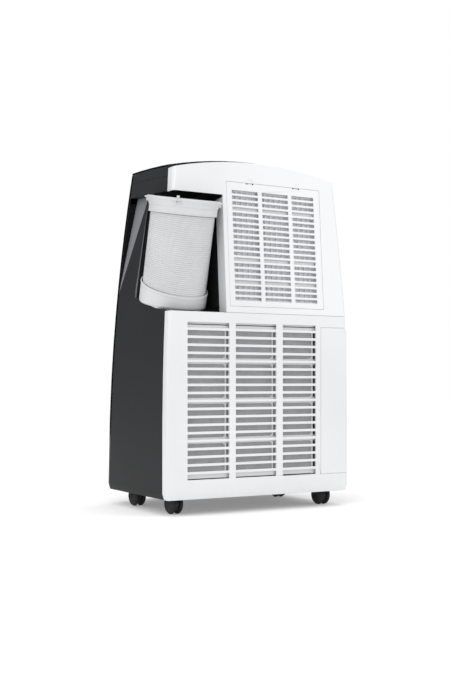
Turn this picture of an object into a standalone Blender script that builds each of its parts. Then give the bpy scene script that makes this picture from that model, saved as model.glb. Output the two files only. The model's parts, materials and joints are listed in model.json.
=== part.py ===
"""Portable air conditioner with a stowed exhaust hose, two rear intake grilles and four castors.

Everything is drawn in the cabinet's own axes: X = 0 is the centre line, Y = 0 is the flat lower back,
the front faces -Y, the hose corner is +X and Z = 0 is the floor. One empty then moves the whole machine
so that the middle of its footprint stands on the origin.
"""

import math

import bmesh
import bpy
from mathutils import Matrix, Vector

# ---------------------------------------------------------------- driving dimensions, metres
BODY_WIDTH = 0.449
BODY_BOTTOM = 0.033
FRONT_BULGE = 0.064
WALL = 0.003
SEAM = 0.0005
BACK_CORNER = 0.008
WAIST = 0.4165
BACK_LEAN = 0.07
ORIGIN_SHIFT = (-0.0042, 0.1633, 0.0)

WRAP = 0.022
WRAP_LEAN = 0.085
FRONT_RETURN = 0.0145

ARCH_TOP, ARCH_RADIUS = 0.7358, 0.82
DECK_TOP, DECK_RADIUS = 0.7378, 0.86
DECK_SHEET, DECK_WEB = 0.0045, 0.0025
SKIRT_SEAM, LEDGE, TOP_SLOPE = 0.693, 0.6615, 0.06

SLANT_TOP_Y, SLANT_TOP_Z = -0.215, 0.7522
OUTLET_HALF, OUTLET_RISE = 0.108, 0.054
OUTLET_CENTRE = Vector((0.0, -0.256, 0.7112))
VANE_GAP = 0.040
VANE_PIVOT_DEPTH = 0.028

GRILLE_ROWS = 20
LOWER_COLUMNS = ((0.080, 0.178), (-0.0354, 0.0644), (-0.137, -0.0518))
LOWER_PITCH, LOWER_SLOT, LOWER_FIRST = 0.01634, 0.0110, 0.3944
UPPER_COLUMNS = ((-0.0003, 0.0637), (-0.0758, -0.0098), (-0.1424, -0.0853))
UPPER_PITCH, UPPER_SLOT, UPPER_FIRST = 0.01186, 0.0073, 0.2588
COVER_LEFT, COVER_RIGHT = 0.0769, -0.1580
COVER_LOW, COVER_HIGH = 0.0138, 0.2760

DRAWER_EDGE, DRAWER_LOW, DRAWER_HIGH = -0.1505, 0.0725, 0.3905

NICHE_WALL, NICHE_FRONT, NICHE_TOP = 0.0865, -0.167, 0.6626
NICHE_CEILING = 0.6755

HOSE_LEAN = math.radians(14.5)
HOSE_FOOT = Vector((0.164, -0.1005, WAIST))
HOSE_RADIUS, CUP_RADIUS, FLANGE_RADIUS = 0.0673, 0.0714, 0.0768
CUP_LOW, CUP_HIGH, COLLAR_LOW, NOZZLE_HIGH = 0.0195, 0.0605, 0.2105, 0.243
RIM_LEAN = math.radians(25)
NOZZLE_LEAN = math.radians(11.5)

CASTOR_X, CASTOR_Y, CASTOR_TRAIL = 0.184, (-0.060, -0.236), 0.010
WHEEL_RADIUS, WHEEL_WIDTH, WELL_RADIUS, WELL_TOP = 0.022, 0.0092, 0.0365, 0.050
BASE_LOW, BASE_HIGH, TRAY_FLOOR = 0.0363, 0.057, 0.0405

BUTTON_RADIUS, BUTTON_Y = 0.0065, -0.175
BUTTONS = {
    "button_power": -0.088,
    "button_mode": -0.061,
    "button_fan_speed": -0.034,
    "button_minus": 0.058,
    "button_plus": 0.085,
}

HIGH = 0.9
WIDE = 0.5


# ---------------------------------------------------------------- the cabinet's outline
def half_width(z):
    return BODY_WIDTH / 2 - 0.084 * max(0.0, z - 0.15) ** 2


def back(z):
    return -BACK_LEAN * max(0.0, z - WAIST)


def front_edge(z):
    rise = z - 0.06
    return -0.296 + 0.038 * rise + 0.09 * rise * rise


def wrap_line(z):
    return -WRAP - WRAP_LEAN * max(0.0, z - WAIST)


def front_seam(z):
    return front_edge(z) + FRONT_RETURN


def deck_height(x, y):
    return DECK_TOP - 0.11 * y - 0.2 * y * y - x * x / (2 * DECK_RADIUS)


def plan_outline(z, inset):
    """The cabinet's plan at height z, drawn in by inset, anticlockwise from the hose side."""
    side = half_width(z) - inset
    rear = back(z) - inset
    edge = front_edge(z)
    radius = max(BACK_CORNER - inset, 0.002)
    points = []
    for centre, start in ((side - radius, 0), (-side + radius, 90)):
        for step in range(4):
            angle = math.radians(start + 30 * step)
            points.append((centre + radius * math.cos(angle), rear - radius + radius * math.sin(angle)))
    arc = 18
    nip = 0.004
    points.append((-side, edge + 0.006))
    for step in range(arc + 1):
        x = (side - nip) * (2 * step / arc - 1)
        points.append((x, edge + inset - FRONT_BULGE * (1 - (x / side) ** 2)))
    points.append((side, edge + 0.006))
    return points


# ---------------------------------------------------------------- building blocks
scene = bpy.context.scene
for leftover in list(bpy.data.objects):
    bpy.data.objects.remove(leftover, do_unlink=True)
PARTS = bpy.data.collections.new("portable_air_conditioner")
CUTTERS = bpy.data.collections.new("cutters")
scene.collection.children.link(PARTS)
scene.collection.children.link(CUTTERS)

ORIGIN = bpy.data.objects.new("machine_origin", None)
ORIGIN.location = ORIGIN_SHIFT
PARTS.objects.link(ORIGIN)

FINISHES = {
    "white": ((0.87, 0.88, 0.89), 0.35, 0.0),
    "soft_white": ((0.78, 0.79, 0.80), 0.45, 0.0),
    "graphite": ((0.05, 0.05, 0.052), 0.42, 0.0),
    "gloss_black": ((0.012, 0.012, 0.013), 0.10, 0.0),
    "matt_black": ((0.02, 0.02, 0.02), 0.6, 0.0),
    "rubber": ((0.03, 0.03, 0.03), 0.75, 0.0),
    "aluminium": ((0.6, 0.61, 0.62), 0.35, 1.0),
    "steel": ((0.5, 0.5, 0.5), 0.3, 1.0),
    "copper": ((0.72, 0.36, 0.2), 0.3, 1.0),
    "grey_foam": ((0.35, 0.35, 0.36), 0.8, 0.0),
}


def material(name, finish):
    colour, roughness, metallic = FINISHES[finish]
    made = bpy.data.materials.new(name)
    made.use_nodes = True
    shader = made.node_tree.nodes["Principled BSDF"]
    shader.inputs["Base Color"].default_value = (*colour, 1.0)
    shader.inputs["Roughness"].default_value = roughness
    shader.inputs["Metallic"].default_value = metallic
    return made


def make(name, mesh, finish=None):
    """An object for the mesh: a part with its own material, or a hidden cutter when it has no finish."""
    piece = bpy.data.objects.new(name, mesh)
    piece.parent = ORIGIN
    if finish is None:
        CUTTERS.objects.link(piece)
        piece.hide_render = True
        piece.display_type = "WIRE"
    else:
        PARTS.objects.link(piece)
        mesh.materials.append(material(name, finish))
    return piece


def finish_mesh(name, bm):
    bmesh.ops.recalc_face_normals(bm, faces=bm.faces)
    mesh = bpy.data.meshes.new(name)
    bm.to_mesh(mesh)
    bm.free()
    return mesh


def box(name, low, high, finish=None):
    bm = bmesh.new()
    bmesh.ops.create_cube(bm, size=1.0)
    size = [b - a for a, b in zip(low, high)]
    middle = [(a + b) / 2 for a, b in zip(low, high)]
    bmesh.ops.scale(bm, vec=size, verts=bm.verts)
    bmesh.ops.translate(bm, vec=middle, verts=bm.verts)
    return make(name, finish_mesh(name, bm), finish)


def rod(name, start, end, radius, finish=None, segments=24, end_radius=None):
    """A cylinder, or a cone, from start to end."""
    start, end = Vector(start), Vector(end)
    bm = bmesh.new()
    bmesh.ops.create_cone(
        bm,
        cap_ends=True,
        segments=segments,
        radius1=radius,
        radius2=radius if end_radius is None else end_radius,
        depth=(end - start).length,
    )
    turn = Vector((0, 0, 1)).rotation_difference(end - start).to_matrix().to_4x4()
    bmesh.ops.transform(bm, matrix=Matrix.Translation((start + end) / 2) @ turn, verts=bm.verts)
    return make(name, finish_mesh(name, bm), finish)


def prism(name, outline, across, low, high, finish=None):
    """A flat outline pushed along one axis: outline points are (Y, Z) along X or (X, Z) along Y."""
    bm = bmesh.new()
    corners = []
    for a, b in outline:
        corners.append(bm.verts.new((low, a, b) if across == "X" else (a, low, b)))
    face = bm.faces.new(corners)
    pushed = bmesh.ops.extrude_face_region(bm, geom=[face])
    moved = [part for part in pushed["geom"] if isinstance(part, bmesh.types.BMVert)]
    step = (high - low, 0, 0) if across == "X" else (0, high - low, 0)
    bmesh.ops.translate(bm, vec=step, verts=moved)
    return make(name, finish_mesh(name, bm), finish)


def turned(name, profile, finish=None, segments=32):
    """A ring from a closed (radius, height) profile that runs down its outer side and up its inner side."""
    mesh = bpy.data.meshes.new(name)
    bm = bmesh.new()
    points = [bm.verts.new((radius, 0, height)) for radius, height in profile]
    for here, there in zip(points, points[1:] + points[:1]):
        bm.edges.new((here, there))
    bm.to_mesh(mesh)
    bm.free()
    piece = make(name, mesh, finish)
    screw = piece.modifiers.new("turn", "SCREW")
    screw.steps = segments
    screw.render_steps = segments
    screw.use_merge_vertices = True
    screw.merge_threshold = 0.00001
    screw.use_normal_calculate = True
    return piece


def boolean(piece, other, operation):
    step = piece.modifiers.new(operation.lower(), "BOOLEAN")
    step.operation = operation
    step.solver = "EXACT"
    step.object = other
    return piece


def cut(piece, *cutters):
    for cutter in cutters:
        boolean(piece, cutter, "DIFFERENCE")
    return piece


def keep(piece, *regions):
    for region in regions:
        boolean(piece, region, "INTERSECT")
    return piece


def join(piece, *others):
    for other in others:
        boolean(piece, other, "UNION")
    return piece


def lean(piece, place, angle):
    """Stands a piece that was drawn upright at the origin on place, tipped towards the back by angle."""
    piece.location = place
    piece.rotation_euler = (-angle, 0, 0)
    return piece


def settle(piece, finish=None):
    """The piece's evaluated mesh as an object of its own, so that it can be cut again cheaply."""
    bpy.context.view_layer.update()
    graph = bpy.context.evaluated_depsgraph_get()
    mesh = bpy.data.meshes.new_from_object(piece.evaluated_get(graph))
    name = piece.name
    place = ORIGIN.matrix_world.inverted() @ piece.matrix_world
    mesh.transform(place)
    bpy.data.objects.remove(piece, do_unlink=True)
    settled = make(name, mesh, finish)
    return settled


def set_origin(piece, point):
    """Moves the piece's origin onto its joint's axis and leaves its shape where it is."""
    piece.data.transform(Matrix.Translation(-Vector(point)))
    piece.location = point
    return piece


def copy_of(piece, name, finish=None):
    return make(name, piece.data.copy(), finish)


def slots(name, columns, first, pitch, height, low, high):
    """Every slot of a grille as one cutter of separate bars, running from low to high in Y."""
    bm = bmesh.new()
    for left, right in columns:
        for row in range(GRILLE_ROWS):
            top = first - row * pitch
            bar = bmesh.ops.create_cube(bm, size=1.0)["verts"]
            bmesh.ops.scale(bm, vec=(right - left, high - low, height), verts=bar)
            bmesh.ops.translate(bm, vec=((left + right) / 2, (low + high) / 2, top - height / 2), verts=bar)
    return make(name, finish_mesh(name, bm))


# ---------------------------------------------------------------- envelopes
def envelope(name, inset):
    """The whole cabinet as one solid, drawn in by inset, before its top is shaped."""
    levels = (BODY_BOTTOM, 0.046, 0.10, 0.19, 0.28, 0.35, WAIST, 0.48, 0.54, 0.60, 0.65, 0.70, 0.78)
    bm = bmesh.new()
    rings = []
    for level in levels:
        tuck = 0.004 if level == BODY_BOTTOM else 0.0
        rings.append([bm.verts.new((x, y, level)) for x, y in plan_outline(level, inset + tuck)])
    for lower, upper in zip(rings, rings[1:]):
        count = len(lower)
        for i in range(count):
            j = (i + 1) % count
            bm.faces.new((lower[i], lower[j], upper[j]))
            bm.faces.new((lower[i], upper[j], upper[i]))
    bm.faces.new(list(reversed(rings[0])))
    bm.faces.new(rings[-1])
    return make(name, finish_mesh(name, bm))


def above_deck(name, drop):
    """Everything above the deck's arched surface, lowered by drop."""
    bm = bmesh.new()
    bmesh.ops.create_grid(bm, x_segments=16, y_segments=8, size=0.5)
    for vert in bm.verts:
        vert.co.x *= 0.52
        vert.co.y = (vert.co.y - 0.5) * 0.42 + 0.02
        vert.co.z = deck_height(vert.co.x, vert.co.y) - drop
    pushed = bmesh.ops.extrude_face_region(bm, geom=list(bm.faces))
    for part in pushed["geom"]:
        if isinstance(part, bmesh.types.BMVert):
            part.co.z = HIGH
    return make(name, finish_mesh(name, bm))


def above_slant(name, drop):
    """Everything in front of and above the slanted outlet face."""
    shift = drop * math.sqrt(2)
    top = SLANT_TOP_Z - shift
    low = SLANT_TOP_Y - 0.2
    outline = (
        (SLANT_TOP_Y + 0.1, top + 0.1),
        (low, top - 0.2),
        (low - 0.1, top - 0.2),
        (low - 0.1, HIGH),
        (SLANT_TOP_Y + 0.1, HIGH),
    )
    return prism(name, outline, "X", -WIDE, WIDE)


def above_arch(name, drop):
    """Everything above the white back shell's arched top edge."""
    steps = 24
    reach = 0.26
    outline = []
    for step in range(steps + 1):
        x = reach * (2 * step / steps - 1)
        outline.append((x, ARCH_TOP - drop - x * x / (2 * ARCH_RADIUS)))
    outline += [(reach, HIGH), (-reach, HIGH)]
    return prism(name, outline, "Y", -WIDE, 0.1)


def shaped(name, inset, deck_drop, slant_drop):
    body = envelope(name, inset)
    cut(body, above_deck(f"{name}_deck", deck_drop), above_slant(f"{name}_slant", slant_drop))
    return settle(body)


OUTER = shaped("outer", 0.0, 0.0, 0.0)
INNER = shaped("inner", WALL, DECK_SHEET + DECK_WEB, WALL)
LINING = shaped("lining", WALL + SEAM, DECK_SHEET + DECK_WEB + SEAM, WALL + SEAM)

Z_LEVELS = [BODY_BOTTOM - 0.01, 0.10, 0.18, 0.26, 0.34, WAIST, 0.48, 0.54, 0.60, 0.66, 0.70, 0.80]


def yz_region(name, rear_line, front_line, low=-WIDE, high=WIDE):
    """The slice between two lines given as Y for each height."""
    outline = [(rear_line(z), z) for z in Z_LEVELS] + [(front_line(z), z) for z in reversed(Z_LEVELS)]
    return prism(name, outline, "X", low, high)


def sloped_box(name, z_low, z_high, low=-WIDE, high=WIDE):
    """A slice between two heights that rise towards the front with the top's slope."""
    rear, front = 0.1, -0.5
    outline = (
        (rear, z_low - TOP_SLOPE * rear),
        (front, z_low - TOP_SLOPE * front),
        (front, z_high - TOP_SLOPE * front),
        (rear, z_high - TOP_SLOPE * rear),
    )
    return prism(name, outline, "X", low, high)


BACK_REGION = yz_region("back_region", lambda z: 0.1, lambda z: wrap_line(z) + SEAM / 2)
FLANK_REGION = yz_region("flank_region", lambda z: wrap_line(z) - SEAM / 2, lambda z: front_seam(z) + SEAM / 2)
FRONT_REGION = yz_region("front_region", lambda z: front_seam(z) - SEAM / 2, lambda z: -0.5)
DECK_REGION = yz_region("deck_region", lambda z: wrap_line(z) - SEAM / 2, lambda z: -0.5)


# ---------------------------------------------------------------- hand holds in the flanks
def hand_hold(name, depth, side, front_grow=0.0):
    """The wedge under the ledge: flush at the bottom and deepest under the ledge, cut square at both ends."""
    low, high = 0.462, LEDGE + 0.013
    outline_depth = 0.0335
    bm = bmesh.new()
    corners = (
        (half_width(low) + 0.0006 - depth, low - depth),
        (half_width(low) - outline_depth - depth, high),
        (WIDE, high),
        (WIDE, low - depth),
    )
    face = bm.faces.new([bm.verts.new((side * x, -0.40, z)) for x, z in corners])
    pushed = bmesh.ops.extrude_face_region(bm, geom=[face])
    bmesh.ops.translate(
        bm, vec=(0, 0.5, 0), verts=[part for part in pushed["geom"] if isinstance(part, bmesh.types.BMVert)]
    )
    wedge = make(name, finish_mesh(name, bm))
    keep(wedge, sloped_box(f"{name}_ledge", 0.0, LEDGE + front_grow))
    rear = front_grow + (NICHE_FRONT + 0.0195 if side > 0 else -0.120)
    keep(wedge, yz_region(f"{name}_ends", lambda z: rear, lambda z: front_seam(z) - front_grow))
    return settle(wedge)


LEFT_HOLD = hand_hold("left_hold", 0.0, 1)
LEFT_HOLD_BACKED = hand_hold("left_hold_backed", WALL, 1, WALL)
LEFT_HOLD_CLEAR = hand_hold("left_hold_clear", WALL + 2 * SEAM, 1, WALL + 2 * SEAM)
RIGHT_HOLD = hand_hold("right_hold", 0.0, -1)
RIGHT_HOLD_BACKED = hand_hold("right_hold_backed", WALL, -1, WALL)


def hold_end(name, side):
    """The front panel's own wall at the front of a hand hold."""
    levels = (0.475, 0.54, 0.60, 0.664)
    inner = [(side * (half_width(z) - 0.024), z) for z in levels]
    wall = prism(name, inner + [(side * WIDE, levels[-1]), (side * WIDE, levels[0])], "Y", -0.40, 0.10)
    return settle(keep(wall, yz_region(f"{name}_slice", lambda z: front_seam(z) + 0.01, lambda z: front_seam(z) - WALL)))


LEFT_HOLD_END = hold_end("left_hold_end", 1)
RIGHT_HOLD_END = hold_end("right_hold_end", -1)


# ---------------------------------------------------------------- hose axis helpers
AXIS = Vector((0, math.sin(HOSE_LEAN), math.cos(HOSE_LEAN)))


def on_hose(distance):
    return HOSE_FOOT + AXIS * distance


def niche_floor(y, gap=0.0012):
    foot = on_hose(CUP_LOW)
    return foot.z - gap - (y - foot.y) * math.tan(HOSE_LEAN)


def niche_space(name, low_drop, right, front, ceiling):
    """The hose niche as one wedge-bottomed block, open to the back and to the hose side."""
    outline = (
        (0.1, niche_floor(0.0) - low_drop),
        (0.0, niche_floor(0.0) - low_drop),
        (front, niche_floor(front) - low_drop),
        (front, ceiling),
        (0.1, ceiling),
    )
    return prism(name, outline, "X", right, WIDE)


NICHE = niche_space("niche", 0.0, NICHE_WALL, NICHE_FRONT, NICHE_CEILING)


# ---------------------------------------------------------------- outer panels
def lower_back():
    panel = copy_of(OUTER, "rear_lower_panel", "white")
    keep(panel, BACK_REGION, box("lower_back_region", (-WIDE, -WIDE, 0), (WIDE, WIDE, WAIST - SEAM / 2)))
    cut(panel, INNER)
    cut(panel, slots("lower_slots", LOWER_COLUMNS, LOWER_FIRST, LOWER_PITCH, LOWER_SLOT, -0.02, 0.02))
    edge = SEAM
    low = (-WIDE, -WIDE, DRAWER_LOW - edge)
    cut(panel, box("drawer_window", low, (DRAWER_EDGE + edge, WIDE, DRAWER_HIGH + edge)))
    return panel


def lean_cover(piece):
    piece.location = (0, 0, WAIST)
    piece.rotation_euler = (math.atan(BACK_LEAN), 0, 0)
    return piece


def upper_back():
    panel = copy_of(OUTER, "rear_upper_panel", "white")
    keep(panel, BACK_REGION, box("upper_back_region", (-WIDE, -WIDE, WAIST + SEAM / 2), (WIDE, WIDE, HIGH)))
    cut(panel, above_arch("back_arch", 0.0))
    hollow = copy_of(INNER, "back_hollow")
    cut(hollow, above_arch("back_arch_inside", WALL))
    cut(panel, settle(hollow))
    cut(panel, box("niche_window", (NICHE_WALL, -WIDE, 0.40), (WIDE, WIDE, NICHE_TOP)))
    gap = SEAM
    window = box(
        "cover_window", (COVER_RIGHT - gap, -0.04, COVER_LOW - gap), (COVER_LEFT + gap, 0.04, COVER_HIGH + gap)
    )
    cut(panel, lean_cover(window))
    return panel


def flank(name, side, hold, hold_backed):
    panel = copy_of(OUTER, name, "graphite")
    near, far = sorted((side * 0.12, side * WIDE))
    keep(panel, FLANK_REGION, sloped_box(f"{name}_height", -0.1, SKIRT_SEAM - SEAM / 2, near, far))
    hollow = copy_of(INNER, f"{name}_hollow")
    cut(hollow, hold_backed)
    cut(panel, hold, settle(hollow))
    return panel


def left_flank():
    panel = flank("side_panel_left", 1, LEFT_HOLD, LEFT_HOLD_BACKED)
    opening = niche_space("left_niche_window", 0.0, 0.12, NICHE_FRONT, SKIRT_SEAM)
    keep(opening, sloped_box("left_niche_top", 0.0, LEDGE))
    cut(panel, settle(opening))
    return panel


def right_flank():
    panel = flank("side_panel_right", -1, RIGHT_HOLD, RIGHT_HOLD_BACKED)
    cut(panel, rod("drain_hole", (-0.3, -0.245, 0.080), (-0.1, -0.245, 0.080), 0.0095))
    cut(panel, rod("cord_hole", (-0.3, -0.200, 0.120), (-0.1, -0.200, 0.120), 0.0095))
    return panel


def outlet_block(name, half, rise, near, far, finish=None):
    """A block square to the slanted outlet face: half its length in X, half its rise, and two depths."""
    block = box(name, (-half, -rise, near), (half, rise, far), finish)
    block.location = OUTLET_CENTRE
    block.rotation_euler = (math.radians(45), 0, 0)
    return block


def front():
    panel = copy_of(OUTER, "front_panel", "gloss_black")
    keep(panel, FRONT_REGION)
    hollow = copy_of(INNER, "front_hollow")
    cut(hollow, LEFT_HOLD_END, RIGHT_HOLD_END)
    cut(panel, above_deck("front_under_deck", DECK_SHEET + SEAM / 2), settle(hollow))
    cut(panel, outlet_block("outlet_window", OUTLET_HALF, OUTLET_RISE / 2, -0.02, 0.02))
    return panel


def top_skirt():
    """The grey band under the deck and the sheet that joins its two sides."""
    cover = copy_of(OUTER, "top_cover", "graphite")
    keep(cover, FLANK_REGION, sloped_box("skirt_height", SKIRT_SEAM + SEAM / 2, HIGH))
    cut(cover, above_deck("skirt_under_deck", DECK_SHEET + SEAM / 2), INNER)
    cut(cover, box("control_well", (-0.100, -0.194, 0.6), (0.100, -0.156, HIGH)))
    return cover


def deck():
    lid = copy_of(OUTER, "top_deck", "gloss_black")
    keep(lid, DECK_REGION, above_deck("deck_underside", DECK_SHEET - SEAM / 2))
    gap = SEAM
    cut(lid, box("control_window", (-0.105 - gap, -0.200 - gap, 0.6), (0.105 + gap, -0.150 + gap, HIGH)))
    return lid


def controls():
    face = copy_of(OUTER, "control_panel", "gloss_black")
    keep(face, box("control_region", (-0.105, -0.200, 0.6), (0.105, -0.150, HIGH)))
    keep(face, above_deck("control_underside", DECK_SHEET - SEAM / 2))
    cut(face, box("display_hole", (-0.0125, -0.1845, 0.6), (0.0345, -0.1655, HIGH)))
    for name, x in BUTTONS.items():
        hole = rod(f"{name}_hole", (x, BUTTON_Y, 0.6), (x, BUTTON_Y, HIGH), BUTTON_RADIUS + 0.0004)
        cut(face, hole)
        surface = deck_height(x, BUTTON_Y)
        key = rod(name, (x, BUTTON_Y, surface - 0.0032), (x, BUTTON_Y, surface + 0.0012), BUTTON_RADIUS, "soft_white")
        set_origin(key, (x, BUTTON_Y, surface))
    middle = deck_height(0.011, BUTTON_Y)
    box("display_window", (-0.012, -0.184, middle - 0.0028), (0.034, -0.166, middle - 0.0002), "gloss_black")
    return face


# ---------------------------------------------------------------- air outlet
def outlet():
    duct = outlet_block("outlet_duct", OUTLET_HALF + 0.003, OUTLET_RISE / 2 + 0.003, -0.062, -WALL - 0.0008, "matt_black")
    cut(duct, outlet_block("duct_bore", OUTLET_HALF, OUTLET_RISE / 2, -0.1, 0.1))

    inside = OUTLET_RISE / 2
    flap = box("outlet_flap", (-OUTLET_HALF + 0.0006, -2 * inside + 0.0020, -0.0022), (OUTLET_HALF - 0.0006, 0.0008, 0.0008), "gloss_black")
    stiffener = box("flap_rib", (-OUTLET_HALF + 0.006, -0.030, -0.0052), (OUTLET_HALF - 0.006, -0.027, -0.0015))
    up = Vector((0, 1, 1)).normalized()
    out = Vector((0, -1, 1)).normalized()
    hinge = OUTLET_CENTRE + up * (inside - 0.0014) - out * 0.0010
    for piece in (flap, stiffener):
        piece.location = hinge
        piece.rotation_euler = (math.radians(45), 0, 0)
    join(flap, stiffener)

    motor_x = OUTLET_HALF + 0.0035
    motor = rod("louvre_motor", (motor_x, 0, 0), (motor_x + 0.018, 0, 0), 0.0100, "steel", 20)
    motor.location = OUTLET_CENTRE + up * 0.006 - out * 0.018
    motor.rotation_euler = (math.radians(45), 0, 0)

    for index in range(5):
        x = VANE_GAP * (index - 2)
        vane = box(f"outlet_vane_{index + 1}", (-0.0008, -0.0255, -0.017), (0.0008, 0.0255, 0.016), "matt_black")
        join(vane, box(f"vane_pin_{index + 1}", (-0.0009, -0.0012, -0.0225), (0.0009, 0.0012, -0.0165)))
        vane.location = OUTLET_CENTRE + Vector((x, 0, 0)) - out * VANE_PIVOT_DEPTH
        vane.rotation_euler = (math.radians(45), 0, 0)
        bpy.data.objects[f"vane_pin_{index + 1}"].location = vane.location
        bpy.data.objects[f"vane_pin_{index + 1}"].rotation_euler = vane.rotation_euler

    link_depth = VANE_PIVOT_DEPTH + 0.0205
    link = outlet_block("vane_link", 2 * VANE_GAP + 0.008, 0.005, -link_depth - 0.0015, -link_depth + 0.0015, "matt_black")
    for index in range(5):
        eye = box(f"link_eye_{index + 1}", (-0.0035, -0.0022, -0.02), (0.0035, 0.0022, 0.02))
        eye.location = OUTLET_CENTRE + Vector((VANE_GAP * (index - 2), 0, 0)) - out * link_depth
        eye.rotation_euler = (math.radians(45), 0, 0)
        cut(link, eye)
    return duct


# ---------------------------------------------------------------- rear covers and filters
def evaporator_cover():
    cover = box("evaporator_filter_cover", (COVER_RIGHT, -WALL, COVER_LOW), (COVER_LEFT, 0, COVER_HIGH), "white")
    cut(cover, lean_cover(slots("upper_slots", UPPER_COLUMNS, UPPER_FIRST, UPPER_PITCH, UPPER_SLOT, -0.02, 0.02)))
    for x in (0.019, -0.0975):
        cut(cover, lean_cover(box(f"clip_slot_{x}", (x - 0.009, -0.02, COVER_HIGH - 0.0028), (x + 0.009, 0.02, 0.3))))
    hinge = Vector((0, -0.0015, COVER_LOW + 0.0030))
    set_origin(cover, hinge)
    tilt = Matrix.Rotation(math.atan(BACK_LEAN), 4, "X")
    cover.location = Vector((0, 0, WAIST)) + (tilt @ hinge)
    cover.rotation_euler = (math.atan(BACK_LEAN), 0, 0)

    filter_low, filter_high = 0.0215, 0.2665
    frame = box("evaporator_filter", (-0.1500, -0.0105, filter_low), (0.0705, -0.0060, filter_high), "soft_white")
    columns = ((-0.0035, 0.0635), (-0.0745, -0.0065), (-0.1430, -0.0775))
    crossbars = [UPPER_FIRST - UPPER_PITCH * row - UPPER_SLOT / 2 for row in (3, 12, 16)]
    edges = [filter_high - 0.006] + crossbars + [filter_low + 0.004]
    for column, (left, right) in enumerate(columns):
        for row, (top, bottom) in enumerate(zip(edges, edges[1:])):
            low = (left, -0.0095, bottom + 0.004)
            pane = box(f"upper_pane_{column}_{row}", low, (right, 0.01, top - 0.004))
            cut(frame, lean_cover(pane))
    lean_cover(frame)
    return cover


def condenser_drawer():
    """The slide-out filter: its corner cover and its frame are one moulding."""
    cover = copy_of(OUTER, "condenser_filter_drawer", "white")
    keep(cover, BACK_REGION, box("drawer_region", (-WIDE, -WIDE, DRAWER_LOW), (DRAWER_EDGE, WIDE, DRAWER_HIGH)))
    cut(cover, INNER)
    low, high = 0.0745, 0.3885
    join(cover, box("drawer_neck", (-half_width(0.1) + 0.0045, -0.0150, low), (-0.180, -0.0015, high)))
    frame = box("drawer_frame", (-0.190, -0.0120, low), (0.1830, -0.0070, high))
    columns = ((0.0795, 0.1745), (-0.0360, 0.0635), (-0.1520, -0.0525))
    rows = [LOWER_FIRST - LOWER_PITCH * row - LOWER_SLOT - 0.0027 for row in (4, 9, 14)]
    edges = [high - 0.0035] + rows + [low + 0.0055]
    for column, (left, right) in enumerate(columns):
        for row, (top, bottom) in enumerate(zip(edges, edges[1:])):
            pane = box(f"lower_pane_{column}_{row}", (left, -0.0110, bottom + 0.004), (right, 0.01, top - 0.004))
            cut(frame, pane)
    join(cover, settle(frame))
    return cover


# ---------------------------------------------------------------- exhaust hose and its niche
def liner():
    """A thin black tub: floor under the cup, inner wall, front wall and ceiling."""
    tub = niche_space("niche_liner", 0.0020, NICHE_WALL - 0.0024, NICHE_FRONT - 0.0022, NICHE_CEILING + 0.002)
    tub = settle(tub, "matt_black")
    keep(tub, LINING)
    cut(tub, LEFT_HOLD_CLEAR, niche_space("niche_room", 0.0, NICHE_WALL - 0.0004, NICHE_FRONT - 0.0002, NICHE_CEILING))
    cut(tub, rod("exhaust_port", on_hose(-0.05), on_hose(0.05), 0.050, None, 32))
    return tub


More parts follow.
